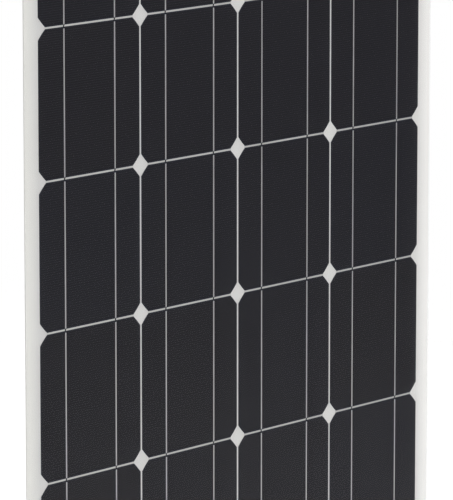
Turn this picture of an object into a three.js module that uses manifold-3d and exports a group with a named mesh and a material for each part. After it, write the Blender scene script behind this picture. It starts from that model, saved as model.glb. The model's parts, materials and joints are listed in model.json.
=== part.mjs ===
// A flexible solar sheet for a 12 V system. Thirty-six pseudo-square wafers lie in four strings of nine
// between a clear front film and a stiffened backsheet. Eyelets hold the corners, and a junction box with a
// hinged lid and two cable glands sits on the top margin.
//
// Millimetres. X runs across the sheet and Z along it. The lit face looks along -Y, the back face is Y = 0,
// and the origin is the middle of the fifth row. The sheet bends at the gaps between rows, so its backsheet
// is one strip for each row.

import * as THREE from "three";
import { mergeVertices } from "three/addons/utils/BufferGeometryUtils.js";
import Module from "manifold-3d";

const wasm = await Module();
wasm.setup();

// ---- Driving dimensions ----

const COLUMNS = 4;
const ROWS = 9;
const CELL_SIZE = 125; // across the flats of a wafer
const WAFER_DIAMETER = 165; // of the round slice that each wafer is cut from
const STRING_GAP = 2; // between columns
const ROW_GAP = 1.6; // between the cells of one string
const SIDE_MARGIN = 17;
const TOP_MARGIN = 60;
const BOTTOM_MARGIN = 22.2;
const SHEET_CORNER_RADIUS = 8;

const SHEET_THICKNESS = 2.5;
const BACKSHEET_THICKNESS = 1.3;
const CELL_THICKNESS = 0.2;
const RIBBON_THICKNESS = 0.2;
const LAYER_GAP = 0.05;
const STRIP_GAP = 0.3; // between neighbouring backsheet strips

const RIBBON_WIDTH = 1.4;
const RIBBON_OFFSET = CELL_SIZE / 4; // each wafer carries two ribbons, a quarter of its width off centre
const BUS_WIDTH = 4;
const CENTRE_BUS_RISE = 3; // from the cells' edge to a bus ribbon beside them
const LEAD_BUS_RISE = 9; // from the cells' edge to the two bus ribbons that lead to the box
const LEAD_SPACING = 16; // between the three ribbons that enter the box
const LEAD_HEIGHT = 6.5; // of the ribbon ends that stand inside the box

const EYELET_INSET = 9;
const EYELET_BORE_RADIUS = 4.25;
const EYELET_WALL = 0.6;
const EYELET_FLANGE_RADIUS = 7.75;
const EYELET_HOLE_CLEARANCE = 0.25;

const BOX_WIDTH = 105;
const BOX_HEIGHT = 38;
const BOX_DEPTH = 17; // from the film to the rim
const BOX_CORNER_RADIUS = 5;
const BOX_RISE = 33; // from the cells' top edge to the middle of the box
const BOX_WALL = 2;
const BOX_FLOOR = 1.5;
const FOOT_WIDTH = 3; // of the flange that is glued to the film
const SLOT_WIDTH = 44; // of the opening that the three ribbons pass through
const SLOT_HEIGHT = 6;

const LEDGE_WIDTH = 1.5;
const LEDGE_DEPTH = 3; // below the rim
const GASKET_THICKNESS = 1.2;
const FIT_GAP = 0.3; // between pieces that fit inside each other
const REST_GAP = 0.2; // between pieces that lie on each other

const LID_THICKNESS = 2.4;
const LIP_WIDTH = 1.7;
const KNUCKLE_RADIUS = 2.4;
const KNUCKLE_LENGTH = 31.2;
const HINGE_RISE = 2.8; // from the box's top wall to the hinge axis
const TRUNNION_RADIUS = 1;
const TRUNNION_LENGTH = 4;
const EAR_THICKNESS = 4;
const EAR_GAP = 0.4; // between an ear and the knuckle
const EAR_DEPTH = 5; // along the box's depth, behind the hinge axis
const TONGUE = { width: 16, length: 9, thickness: 1.4, gap: 0.4, lip: 2 };

const GLAND_DEPTH = 8.45; // from the film to the axis of the glands
const SPOUT = { radius: 5.5, bore: 3.5, length: 11.5 };
const NUT = {
  flats: 14,
  length: 12,
  start: 3.7, // from the box's end wall
  thread: 8.6, // length of the wide bore over the spout
  bore: 3.2,
  clearance: 0.3,
  innerBevel: 1.2,
  mouthBevel: 1.8,
};

const DIODE = { radius: 2.6, length: 9, leadRadius: 0.6, span: 20, rise: 3.5, depth: 5.5, stagger: 1 };

const ARC_STEPS = 3; // an outline's arc is stepped twice as often
const ROUND_STEPS = 24; // round a full circle
const OVERLAP = 1; // how far a cutting or joined solid runs past a face

// ---- Places worked out from them ----

const columnPitch = CELL_SIZE + STRING_GAP;
const rowPitch = CELL_SIZE + ROW_GAP;
const middleRow = (ROWS - 1) / 2;
const cellsTop = middleRow * rowPitch + CELL_SIZE / 2;
const sheetHalfWidth = ((COLUMNS - 1) * columnPitch + CELL_SIZE) / 2 + SIDE_MARGIN;
const sheetTop = cellsTop + TOP_MARGIN;
const sheetBottom = -cellsTop - BOTTOM_MARGIN;

const cellBack = -BACKSHEET_THICKNESS - LAYER_GAP;
const ribbonBack = cellBack - CELL_THICKNESS - LAYER_GAP;
const ribbonFront = ribbonBack - RIBBON_THICKNESS;
const filmBack = ribbonFront - LAYER_GAP;
const filmFront = -SHEET_THICKNESS;

const eyeletX = sheetHalfWidth - EYELET_INSET;
const eyeletTop = sheetTop - EYELET_INSET;
const eyeletBottom = sheetBottom + EYELET_INSET;
const eyeletHoleRadius = EYELET_BORE_RADIUS + EYELET_WALL + EYELET_HOLE_CLEARANCE;

const boxZ = cellsTop + BOX_RISE;
const boxTop = boxZ + BOX_HEIGHT / 2;
const boxBottom = boxZ - BOX_HEIGHT / 2;
const boxBack = filmFront - LAYER_GAP;
const boxFloor = boxBack - BOX_FLOOR;
const boxRim = boxBack - BOX_DEPTH;
const ledgeFront = boxRim + LEDGE_DEPTH;
const lidBack = boxRim - REST_GAP;
const lidFront = lidBack - LID_THICKNESS;
const hingeY = boxRim - REST_GAP / 2;
const hingeZ = boxTop + HINGE_RISE;
const glandY = filmFront - GLAND_DEPTH;

const columnX = (column) => (column - (COLUMNS - 1) / 2) * columnPitch;
const rowZ = (row) => (middleRow - row) * rowPitch;

// ---- Materials ----

const paint = (color, roughness, metalness = 0) =>
  new THREE.MeshStandardMaterial({ color, roughness, metalness });

const materials = {
  silicon: paint(0x26282d, 0.35),
  backsheet: paint(0xdededc, 0.5),
  film: new THREE.MeshStandardMaterial({
    color: 0xf4f6f7,
    roughness: 0.2,
    metalness: 0,
    transparent: true,
    opacity: 0.15,
  }),
  ribbon: paint(0xb4b6b8, 0.35, 0.9),
  steel: paint(0xc4c6c8, 0.3, 1),
  plastic: paint(0x1c1c1e, 0.55),
  rubber: paint(0x2a2a2a, 0.9),
  diode: paint(0x18181a, 0.4),
};

// ---- Geometry helpers ----

function solidOf(geometry) {
  const bare = geometry.clone();
  bare.deleteAttribute("normal");
  bare.deleteAttribute("uv");
  const merged = mergeVertices(bare);
  return new wasm.Manifold(
    new wasm.Mesh({
      numProp: 3,
      vertProperties: new Float32Array(merged.attributes.position.array),
      triVerts: new Uint32Array(merged.index.array),
    }),
  );
}

function geometryOf(solid) {
  const mesh = solid.getMesh();
  const geometry = new THREE.BufferGeometry();
  geometry.setAttribute("position", new THREE.BufferAttribute(mesh.vertProperties, 3));
  geometry.setIndex(new THREE.BufferAttribute(mesh.triVerts, 1));
  geometry.computeVertexNormals();
  return geometry;
}

const union = (geometries) =>
  geometryOf(geometries.map(solidOf).reduce((whole, piece) => whole.add(piece)));

const cut = (geometry, tools) =>
  geometryOf(tools.map(solidOf).reduce((whole, tool) => whole.subtract(tool), solidOf(geometry)));

function boxBetween([x0, x1], [y0, y1], [z0, z1]) {
  const size = [Math.abs(x1 - x0), Math.abs(y1 - y0), Math.abs(z1 - z0)];
  const geometry = new THREE.BoxGeometry(...size);
  return geometry.translate((x0 + x1) / 2, (y0 + y1) / 2, (z0 + z1) / 2);
}

// A flat outline in X and Z, given thickness along Y from its back towards the lit side.
function plate(outline, back, front, curveSegments = ARC_STEPS) {
  const geometry = new THREE.ExtrudeGeometry(outline, {
    depth: back - front,
    bevelEnabled: false,
    curveSegments,
  });
  return geometry.rotateX(Math.PI / 2).translate(0, back, 0);
}

function roundedRectangle(x0, x1, z0, z1, radius) {
  const outline = new THREE.Shape();
  outline.absarc(x1 - radius, z1 - radius, radius, 0, Math.PI / 2);
  outline.absarc(x0 + radius, z1 - radius, radius, Math.PI / 2, Math.PI);
  outline.absarc(x0 + radius, z0 + radius, radius, Math.PI, Math.PI * 1.5);
  outline.absarc(x1 - radius, z0 + radius, radius, Math.PI * 1.5, Math.PI * 2);
  return outline;
}

// A rounded rectangle centred on the junction box, smaller all round by the given inset.
const boxOutline = (inset) =>
  roundedRectangle(
    -BOX_WIDTH / 2 + inset,
    BOX_WIDTH / 2 - inset,
    boxBottom + inset,
    boxTop - inset,
    BOX_CORNER_RADIUS - inset,
  );

const rod = (radius, [x0, x1], y, z, segments = ROUND_STEPS) =>
  new THREE.CylinderGeometry(radius, radius, Math.abs(x1 - x0), segments)
    .rotateZ(Math.PI / 2)
    .translate((x0 + x1) / 2, y, z);

const throughHole = (x, z, radius) =>
  new THREE.CylinderGeometry(radius, radius, SHEET_THICKNESS * 3, ROUND_STEPS).translate(x, 0, z);

const sheet = new THREE.Group();

function addPiece(name, geometry, material) {
  const mesh = new THREE.Mesh(geometry, material);
  mesh.name = name;
  sheet.add(mesh);
}

// ---- Laminate ----

function cellOutline() {
  const half = CELL_SIZE / 2;
  const radius = WAFER_DIAMETER / 2;
  const start = Math.acos(half / radius);
  const outline = new THREE.Shape();
  for (let corner = 0; corner < 4; corner += 1) {
    const turn = (corner * Math.PI) / 2;
    outline.absarc(0, 0, radius, turn + start, turn + Math.PI / 2 - start);
  }
  return outline;
}

function addCells() {
  const wafer = plate(cellOutline(), cellBack, cellBack - CELL_THICKNESS, 1);
  for (let row = 0; row < ROWS; row += 1) {
    for (let column = 0; column < COLUMNS; column += 1) {
      const geometry = wafer.clone().translate(columnX(column), 0, rowZ(row));
      addPiece(`cell_r${row + 1}c${column + 1}`, geometry, materials.silicon);
    }
  }
}

// The whole sheet's outline cut to one row's stretch of it.
function rowStrip(row) {
  const outline = roundedRectangle(
    -sheetHalfWidth,
    sheetHalfWidth,
    sheetBottom,
    sheetTop,
    SHEET_CORNER_RADIUS,
  );
  const whole = plate(outline, 0, -BACKSHEET_THICKNESS);
  const above = rowZ(row) + (rowPitch - STRIP_GAP) / 2;
  const below = rowZ(row) - (rowPitch - STRIP_GAP) / 2;
  const stretch = boxBetween(
    [-sheetHalfWidth - OVERLAP, sheetHalfWidth + OVERLAP],
    [OVERLAP, -SHEET_THICKNESS],
    [row === ROWS - 1 ? sheetBottom - OVERLAP : below, row === 0 ? sheetTop + OVERLAP : above],
  );
  return geometryOf(solidOf(whole).intersect(solidOf(stretch)));
}

const eyeletHoles = (z) => [-eyeletX, eyeletX].map((x) => throughHole(x, z, eyeletHoleRadius));

function addBacksheet() {
  const holeZ = { 0: eyeletTop, [ROWS - 1]: eyeletBottom };
  for (let row = 0; row < ROWS; row += 1) {
    const strip = rowStrip(row);
    const geometry = row in holeZ ? cut(strip, eyeletHoles(holeZ[row])) : strip;
    addPiece(`backsheet_row_${row + 1}`, geometry, materials.backsheet);
  }
}

function addFrontFilm() {
  const outline = roundedRectangle(
    -sheetHalfWidth,
    sheetHalfWidth,
    sheetBottom,
    sheetTop,
    SHEET_CORNER_RADIUS,
  );
  const slot = boxBetween(
    [-SLOT_WIDTH / 2, SLOT_WIDTH / 2],
    [0, -SHEET_THICKNESS * 2],
    [boxZ - SLOT_HEIGHT / 2, boxZ + SLOT_HEIGHT / 2],
  );
  const openings = [...eyeletHoles(eyeletTop), ...eyeletHoles(eyeletBottom), slot];
  addPiece("front_film", cut(plate(outline, filmBack, filmFront), openings), materials.film);
}

// ---- Ribbons ----

const flatRibbon = (xSpan, zSpan) => boxBetween(xSpan, [ribbonBack, ribbonFront], zSpan);

const stringRibbons = (column, zSpan) =>
  [-RIBBON_OFFSET, RIBBON_OFFSET].map((offset) => {
    const x = columnX(column) + offset;
    return flatRibbon([x - RIBBON_WIDTH / 2, x + RIBBON_WIDTH / 2], zSpan);
  });

const busFrom = (edge, rise) => [edge + rise, edge + rise + Math.sign(rise) * BUS_WIDTH];

// The run up to the box's slot and the end that stands inside the box.
function leadRibbon(x, fromZ) {
  const span = [x - BUS_WIDTH / 2, x + BUS_WIDTH / 2];
  const end = boxBetween(span, [ribbonBack, ribbonBack - LEAD_HEIGHT], [boxZ - RIBBON_THICKNESS, boxZ]);
  return [flatRibbon(span, [fromZ, boxZ]), end];
}

// Two neighbouring strings, joined below the last row. The outer one also leads to the box.
function addStringPair(name, side) {
  const outerColumn = side < 0 ? 0 : COLUMNS - 1;
  const innerColumn = outerColumn - side;
  const [leadLow, leadHigh] = busFrom(cellsTop, LEAD_BUS_RISE);
  const [linkHigh, linkLow] = busFrom(-cellsTop, -CENTRE_BUS_RISE);
  const outerX = columnX(outerColumn) + side * (RIBBON_OFFSET + RIBBON_WIDTH / 2);
  const innerX = columnX(innerColumn) - side * (RIBBON_OFFSET + RIBBON_WIDTH / 2);
  const leadX = side * LEAD_SPACING;
  addPiece(
    name,
    union([
      ...stringRibbons(outerColumn, [linkLow, leadHigh]),
      ...stringRibbons(innerColumn, [linkLow, cellsTop]),
      flatRibbon([outerX, innerX], [linkLow, linkHigh]),
      flatRibbon([outerX, leadX - (side * BUS_WIDTH) / 2], [leadLow, leadHigh]),
      ...leadRibbon(leadX, leadLow),
    ]),
    materials.ribbon,
  );
}

// Joins the tops of the two inner strings and leads their middle tap to the box.
function addCentreBus() {
  const [low, high] = busFrom(cellsTop, CENTRE_BUS_RISE);
  const innerColumns = [COLUMNS / 2 - 1, COLUMNS / 2];
  const halfLength = columnX(COLUMNS / 2) + RIBBON_OFFSET + RIBBON_WIDTH / 2;
  addPiece(
    "centre_bus_ribbon",
    union([
      flatRibbon([-halfLength, halfLength], [low, high]),
      ...innerColumns.flatMap((column) => stringRibbons(column, [cellsTop + FIT_GAP, high])),
      ...leadRibbon(0, low),
    ]),
    materials.ribbon,
  );
}

// ---- Eyelets ----

// A steel barrel rolled over into a rounded flange on each face of the sheet.
function eyeletProfile() {
  const backSeat = LAYER_GAP;
  const frontSeat = filmFront - LAYER_GAP;
  const barrelRadius = EYELET_BORE_RADIUS + EYELET_WALL;
  const flatRadius = EYELET_FLANGE_RADIUS - EYELET_WALL;
  const profile = new THREE.Path();
  profile.absarc(barrelRadius, frontSeat, EYELET_WALL, Math.PI, Math.PI * 1.5);
  profile.absarc(flatRadius, frontSeat, EYELET_WALL, Math.PI * 1.5, Math.PI * 2);
  profile.lineTo(barrelRadius, frontSeat);
  profile.lineTo(barrelRadius, backSeat);
  profile.lineTo(EYELET_FLANGE_RADIUS, backSeat);
  profile.absarc(flatRadius, backSeat, EYELET_WALL, 0, Math.PI / 2);
  profile.absarc(barrelRadius, backSeat, EYELET_WALL, Math.PI / 2, Math.PI);
  profile.closePath();
  return profile.getPoints(1);
}

function addEyelets() {
  const eyelet = geometryOf(solidOf(new THREE.LatheGeometry(eyeletProfile(), ROUND_STEPS)));
  const heights = { top: eyeletTop, bottom: eyeletBottom };
  for (const [end, z] of Object.entries(heights)) {
    for (const [hand, x] of Object.entries({ left: -eyeletX, right: eyeletX })) {
      addPiece(`eyelet_${end}_${hand}`, eyelet.clone().translate(x, 0, z), materials.steel);
    }
  }
}

// ---- Junction box ----

function earPieces(side) {
  const inner = KNUCKLE_LENGTH / 2 + EAR_GAP;
  const span = [side * inner, side * (inner + EAR_THICKNESS)];
  return [
    rod(KNUCKLE_RADIUS, span, hingeY, hingeZ),
    boxBetween(span, [hingeY, hingeY + EAR_DEPTH], [boxTop - OVERLAP, hingeZ + KNUCKLE_RADIUS]),
  ];
}

function spout(side) {
  const wall = BOX_WIDTH / 2;
  return rod(SPOUT.radius, [side * (wall - OVERLAP), side * (wall + SPOUT.length)], glandY, boxZ);
}

function addBoxBase() {
  const sides = [-1, 1];
  const solids = [
    plate(boxOutline(-FOOT_WIDTH), boxBack, boxFloor),
    plate(boxOutline(0), boxBack, boxRim),
    ...sides.map(spout),
    ...sides.flatMap(earPieces),
  ];
  const reach = BOX_WIDTH / 2 + SPOUT.length + OVERLAP;
  const earReach = KNUCKLE_LENGTH / 2 + EAR_GAP + EAR_THICKNESS + OVERLAP;
  const hollows = [
    plate(boxOutline(BOX_WALL), ledgeFront, boxRim - OVERLAP),
    plate(boxOutline(BOX_WALL + LEDGE_WIDTH), boxFloor, boxRim - OVERLAP),
    rod(SPOUT.bore, [-reach, reach], glandY, boxZ),
    rod(TRUNNION_RADIUS + FIT_GAP, [-earReach, earReach], hingeY, hingeZ),
    boxBetween(
      [-SLOT_WIDTH / 2, SLOT_WIDTH / 2],
      [0, boxFloor - OVERLAP],
      [boxZ - SLOT_HEIGHT / 2, boxZ + SLOT_HEIGHT / 2],
    ),
  ];
  addPiece("junction_box_base", cut(union(solids), hollows), materials.plastic);
}

function addGasket() {
  const outline = boxOutline(BOX_WALL + FIT_GAP);
  const hole = boxOutline(BOX_WALL + LEDGE_WIDTH);
  outline.holes.push(new THREE.Path(hole.getPoints(ARC_STEPS).reverse()));
  const back = ledgeFront - LAYER_GAP;
  addPiece("lid_gasket", plate(outline, back, back - GASKET_THICKNESS), materials.rubber);
}

// The trunnions at the ends of the lid's knuckle snap into the ears of the base.
function addLid() {
  const halfKnuckle = KNUCKLE_LENGTH / 2;
  const knuckleSpan = [-halfKnuckle, halfKnuckle];
  const trunnionSpan = [-halfKnuckle - TRUNNION_LENGTH, halfKnuckle + TRUNNION_LENGTH];
  const lipFront = lidBack - LAYER_GAP;
  const lipBack = ledgeFront - LAYER_GAP - GASKET_THICKNESS - REST_GAP;
  const tongueTop = boxBottom - TONGUE.gap;
  const tongueSpan = [-TONGUE.width / 2, TONGUE.width / 2];
  const tongueBack = lidFront + TONGUE.length;
  const lip = cut(plate(boxOutline(BOX_WALL + FIT_GAP), lipBack, lipFront), [
    plate(boxOutline(BOX_WALL + FIT_GAP + LIP_WIDTH), lipBack + OVERLAP, lidBack),
  ]);
  const solids = [
    plate(boxOutline(0), lidBack, lidFront),
    lip,
    rod(KNUCKLE_RADIUS, knuckleSpan, hingeY, hingeZ),
    rod(TRUNNION_RADIUS, trunnionSpan, hingeY, hingeZ),
    boxBetween(knuckleSpan, [lidBack, lidFront], [boxTop - OVERLAP, hingeZ]),
    boxBetween(tongueSpan, [tongueBack, lidFront], [tongueTop, tongueTop - TONGUE.thickness]),
    boxBetween(tongueSpan, [lidBack, lidFront], [tongueTop - TONGUE.thickness, boxBottom + OVERLAP]),
    boxBetween(
      tongueSpan,
      [tongueBack, tongueBack - TONGUE.thickness],
      [tongueTop, tongueTop - TONGUE.thickness - TONGUE.lip],
    ),
  ];
  addPiece("junction_box_lid", union(solids), materials.plastic);
}

// A hexagonal nut with bevelled ends, hollow over the spout's thread and narrower at the cable's mouth.
function glandNut(side) {
  const cornerRadius = NUT.flats / 2 / Math.cos(Math.PI / 6);
  const start = BOX_WIDTH / 2 + NUT.start;
  const end = start + NUT.length;
  const hexagon = rod(cornerRadius, [start, end], 0, 0, 6);
  const bevelled = new THREE.LatheGeometry(
    [
      new THREE.Vector2(0, start),
      new THREE.Vector2(cornerRadius - NUT.innerBevel, start),
      new THREE.Vector2(cornerRadius, start + NUT.innerBevel),
      new THREE.Vector2(cornerRadius, end - NUT.mouthBevel),
      new THREE.Vector2(cornerRadius - NUT.mouthBevel, end),
      new THREE.Vector2(0, end),
    ],
    ROUND_STEPS,
  ).rotateZ(-Math.PI / 2);
  const body = geometryOf(solidOf(hexagon).intersect(solidOf(bevelled)));
  const hollows = [
    rod(NUT.bore, [start - OVERLAP, end + OVERLAP], 0, 0),
    rod(SPOUT.radius + NUT.clearance, [start - OVERLAP, start + NUT.thread], 0, 0),
  ];
  const nut = cut(body, hollows);
  return (side < 0 ? nut.rotateZ(Math.PI) : nut).translate(0, glandY, boxZ);
}

function addGlandNuts() {
  addPiece("gland_nut_left", glandNut(-1), materials.plastic);
  addPiece("gland_nut_right", glandNut(1), materials.plastic);
}

// An axial diode bridges each pair of ribbon ends, so that a shaded half of the sheet is passed by.
function addDiodes() {
  const profile = [
    [0, -DIODE.span / 2],
    [DIODE.leadRadius, -DIODE.span / 2],
    [DIODE.leadRadius, -DIODE.length / 2],
    [DIODE.radius, -DIODE.length / 2],
    [DIODE.radius, DIODE.length / 2],
    [DIODE.leadRadius, DIODE.length / 2],
    [DIODE.leadRadius, DIODE.span / 2],
    [0, DIODE.span / 2],
  ].map(([radius, height]) => new THREE.Vector2(radius, height));
  const diode = new THREE.LatheGeometry(profile, ROUND_STEPS).rotateZ(Math.PI / 2);
  for (const [index, side] of [-1, 1].entries()) {
    const place = [
      (side * LEAD_SPACING) / 2,
      boxBack - DIODE.depth,
      boxZ + DIODE.rise + side * DIODE.stagger,
    ];
    addPiece(`bypass_diode_${index + 1}`, diode.clone().translate(...place), materials.diode);
  }
}

addBacksheet();
addCells();
addStringPair("ribbons_strings_1_2", -1);
addStringPair("ribbons_strings_3_4", 1);
addCentreBus();
addFrontFilm();
addEyelets();
addBoxBase();
addGasket();
addLid();
addGlandNuts();
addDiodes();

export default sheet;
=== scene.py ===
"""The looks of the flexible solar sheet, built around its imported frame.

X runs across the sheet and Z along it. The lit face looks along -Y, and the sheet's back is at Y = 0.
"""

import json
import math

import bmesh
import bpy
import numpy as np
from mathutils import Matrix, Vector, geometry


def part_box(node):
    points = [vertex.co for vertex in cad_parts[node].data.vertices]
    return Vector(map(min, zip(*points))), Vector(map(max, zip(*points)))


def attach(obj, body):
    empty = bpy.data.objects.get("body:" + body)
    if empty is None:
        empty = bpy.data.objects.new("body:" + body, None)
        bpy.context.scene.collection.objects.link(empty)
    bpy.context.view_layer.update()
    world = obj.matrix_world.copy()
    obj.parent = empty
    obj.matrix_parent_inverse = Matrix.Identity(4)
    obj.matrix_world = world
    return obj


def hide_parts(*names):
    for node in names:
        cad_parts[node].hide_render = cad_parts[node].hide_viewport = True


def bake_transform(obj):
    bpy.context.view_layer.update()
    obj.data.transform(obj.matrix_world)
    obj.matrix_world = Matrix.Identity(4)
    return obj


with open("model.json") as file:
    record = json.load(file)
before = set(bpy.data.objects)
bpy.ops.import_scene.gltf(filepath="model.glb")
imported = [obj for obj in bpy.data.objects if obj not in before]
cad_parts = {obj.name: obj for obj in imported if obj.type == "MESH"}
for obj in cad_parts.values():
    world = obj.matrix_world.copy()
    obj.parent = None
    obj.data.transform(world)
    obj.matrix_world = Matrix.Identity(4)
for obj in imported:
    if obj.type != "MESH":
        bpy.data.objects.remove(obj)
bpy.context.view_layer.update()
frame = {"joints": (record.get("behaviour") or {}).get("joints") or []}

# ---- Sizes, in metres ----

MM = 0.001
ROWS = 9
COLUMNS = 4
MIDDLE_ROW = 5
STRIPS = ROWS - 1  # a strip of laminate joins the middles of two rows

CELL_SHADE_REACH = 13 * MM  # painted shade: the white margin greys over this distance from the cells
GAP_SHADE_TUCK = 0.2 * MM  # how far the painted shade of a gap reaches under the wafers
CORNER_REACH = 9 * MM  # from a column boundary to where the wafers' cut corners end
WEAVE_PITCH = 1.1 * MM
BACKSHEET_TONES = (  # in the open margin, in painted shade near the cells and in painted shade between rows, each at -X then at +X
    ((0.785, 0.785, 0.755), (0.865, 0.860, 0.845)),
    ((0.670, 0.668, 0.662), (0.708, 0.708, 0.695)),
    ((0.620, 0.615, 0.605), (0.480, 0.475, 0.470)),
)

WAFER_RADIUS = 82.5 * MM
WAFER_EDGE = 0.04 * MM
CELL_ARC_STEPS = 6
RIM_MM = (0.4, 1.6)  # the bluer rim of a wafer fades out between these distances from its edge
FINGER_PITCH_MM = 1.95
FINGER_WIDTH_MM = 0.2
FINGER_EDGE = (0.8, 1.4)  # a finger fades out between these shares of its half width
FINGER_MARGIN_MM = (1.3, 1.4)  # the fingers start between these distances from the edge

RIBBON_WIDTH = 1.4 * MM
RIBBON_THICKNESS = 0.2 * MM
RIBBON_SOLDER = 0.05 * MM  # between a wafer and its ribbon
RIBBON_START = 1.5 * MM  # bare silicon above each ribbon
DIP_EASE = 1 * MM  # where the painted shade on a ribbon starts, above its wafer's lower edge
BUS_WIDTH = 4 * MM
CENTRE_BUS_RISE = 3 * MM
LEAD_BUS_RISE = 9 * MM
LEAD_SPACING = 16 * MM

SHEET_CORNER = 8 * MM
EDGE_CHAMFER = 0.12 * MM
BEND_HALF = 6 * MM  # the laminate bends this far above and below the middle of each gap
BEND_LOOPS = 7
RELIEF_DEPTH = 0.3 * MM  # how far the back sinks between the wafers
RELIEF_PROFILE = ((-0.6, 0), (-0.1, -0.1), (0.35, -0.27), (0.6, -0.35))  # mm outside a wafer, Y in mm

EYELET_HOLE = 5.1 * MM
ROUND_STEPS = 64

BOX_HALF_HEIGHT = 19 * MM
BOX_DEPTH = 17 * MM
BOX_CORNER = 5 * MM
BOX_LEAST_CORNER = 0.9 * MM  # of a loop drawn far in
BOX_FLOOR = 1.5 * MM
WELD_REACH = 0.001 * MM
FOOT_REACH = 3 * MM
LID_GAP = 0.2 * MM
CORNER_STEPS = 8
SLOT = (44 * MM, 6 * MM)
KNUCKLE_HALF = 15.6 * MM
KNUCKLE_RADIUS = 2.4 * MM
TRUNNION_RADIUS = 1 * MM
TRUNNION_LENGTH = 4 * MM
EAR_BORE = 1.3 * MM
SPOUT_RADIUS = 5.5 * MM
SPOUT_BORE = 3.5 * MM
SPOUT_LENGTH = 11.5 * MM
SPOUT_ROOT = 0.3 * MM  # inside the wall
THREAD_PITCH = 1.5 * MM
THREAD_DEPTH = 0.4 * MM
NUT_HALF_FLATS = 7 * MM

# ---- Places read from the frame ----


def middle(node_name):
    low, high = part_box(node_name)
    return (low + high) / 2


def cell_node(row, column):
    return f"cell_r{row}c{column}"


def body_of_row(row):
    return f"row_{row}"


CELL_LOW, CELL_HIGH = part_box(cell_node(MIDDLE_ROW, 1))
CELL_HALF = (CELL_HIGH.x - CELL_LOW.x) / 2
CELL_BACK = CELL_HIGH.y
CELL_FRONT = CELL_LOW.y
COLUMN_X = [middle(cell_node(MIDDLE_ROW, c)).x for c in range(1, COLUMNS + 1)]
ROW_Z = {r: middle(cell_node(r, 1)).z for r in range(1, ROWS + 1)}
ROW_PITCH = ROW_Z[1] - ROW_Z[2]
COLUMN_PITCH = COLUMN_X[1] - COLUMN_X[0]
GAP_Z = {strip: (ROW_Z[strip] + ROW_Z[strip + 1]) / 2 for strip in range(1, STRIPS + 1)}

FILM_LOW, FILM_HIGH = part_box("front_film")
FILM_FRONT = FILM_LOW.y
FILM_BACK = FILM_HIGH.y
SHEET_HALF = FILM_HIGH.x
SHEET_TOP = FILM_HIGH.z
SHEET_BOTTOM = FILM_LOW.z
BACKSHEET_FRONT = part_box(f"backsheet_row_{MIDDLE_ROW}")[0].y
CELLS_TOP = ROW_Z[1] + CELL_HALF
CELLS_BOTTOM = ROW_Z[ROWS] - CELL_HALF

RIBBON_NODES = ("ribbons_strings_1_2", "ribbons_strings_3_4")
RIBBON_FRONT = CELL_FRONT - RIBBON_SOLDER - RIBBON_THICKNESS
RIBBON_OFFSET = CELL_HALF / 2
RIBBON_PLACES = [  # each ribbon's X, and whether its column is an outer one
    (x + offset, column in (0, COLUMNS - 1))
    for column, x in enumerate(COLUMN_X)
    for offset in (-RIBBON_OFFSET, RIBBON_OFFSET)
]

EYELETS = [
    (f"eyelet_{end}_{hand}", row)
    for end, row in (("top", 1), ("bottom", ROWS))
    for hand in ("left", "right")
]

BASE_LOW, BASE_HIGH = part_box("junction_box_base")
LID_LOW, LID_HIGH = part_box("junction_box_lid")
BOX_HALF_WIDTH = LID_HIGH.x
BOX_Z = BASE_LOW.z + FOOT_REACH + BOX_HALF_HEIGHT
BOX_TOP = BOX_Z + BOX_HALF_HEIGHT
BOX_BOTTOM = BOX_Z - BOX_HALF_HEIGHT
BOX_BACK = BASE_HIGH.y
LID_BACK = BOX_BACK - BOX_DEPTH - LID_GAP
LID_FRONT = LID_LOW.y
GLAND_Y = middle("gland_nut_left").y
HINGE = Vector(next(j["pos_m"] for j in frame["joints"] if j["name"] == "lid_hinge"))

# ---- Camera ----

CAMERA_TARGET = Vector((-15.1, -1.6, -23.5)) * MM
CAMERA_YAW = math.radians(49.94)
CAMERA_PITCH = math.radians(9.81)
CAMERA_DISTANCE = 3.858
CAMERA_LENS = 322.9


def new_object(name, data):
    made = bpy.data.objects.new(name, data)
    bpy.context.scene.collection.objects.link(made)
    return made


def aim(made, place, direction):
    """Puts a camera or a light at place, looking along direction."""
    made.location = place
    made.rotation_euler = direction.to_track_quat("-Z", "Y").to_euler()


def add_camera():
    data = bpy.data.cameras.new("camera")
    data.lens = CAMERA_LENS
    level = math.cos(CAMERA_PITCH)
    forward = Vector((math.sin(CAMERA_YAW) * level, math.cos(CAMERA_YAW) * level, -math.sin(CAMERA_PITCH)))
    camera = new_object("camera", data)
    aim(camera, CAMERA_TARGET - forward * CAMERA_DISTANCE, forward)
    bpy.context.scene.camera = camera


add_camera()

# ---- Material helpers ----

REST_PLACE = "rest_place"
WAFER_PLACE = "cell_mm"
# Painted shade on the ribbons where they dip between rows, stored for each vertex.
DIP_SHADE = "dip"
MOST_NOISE = (0.3, 0.7)  # most values of a noise lie between these
NOISE_PEAKS = (0.5, 0.8)  # and these pick out its highest patches


def empty_tree(owner):
    """The node tree of a material or of the world, with nothing in it."""
    owner.use_nodes = True
    owner.node_tree.nodes.clear()
    return owner.node_tree


def make_material(name, add_nodes, **options):
    made = bpy.data.materials.new(name)
    add_nodes(empty_tree(made), **options)
    return made


def node(tree, kind, inputs=None, **settings):
    """A node with its settings, and each input either linked to a socket or set to a value."""
    made = tree.nodes.new(f"ShaderNode{kind}")
    for key, value in settings.items():
        setattr(made, key, value)
    for key, value in (inputs or {}).items():
        socket = made.inputs[key]
        if isinstance(value, bpy.types.NodeSocket):
            tree.links.new(value, socket)
        else:
            socket.default_value = value
    return made


def attribute(tree, name):
    return node(tree, "Attribute", attribute_name=name).outputs


def separated(vector):
    return node(vector.id_data, "SeparateXYZ", {"Vector": vector}).outputs


def maths(operation, *values, clamp=False):
    """values are sockets, at least one of them, and numbers."""
    tree = next(value.id_data for value in values if isinstance(value, bpy.types.NodeSocket))
    inputs = dict(enumerate(values))
    return node(tree, "Math", inputs, operation=operation, use_clamp=clamp).outputs[0]


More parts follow.
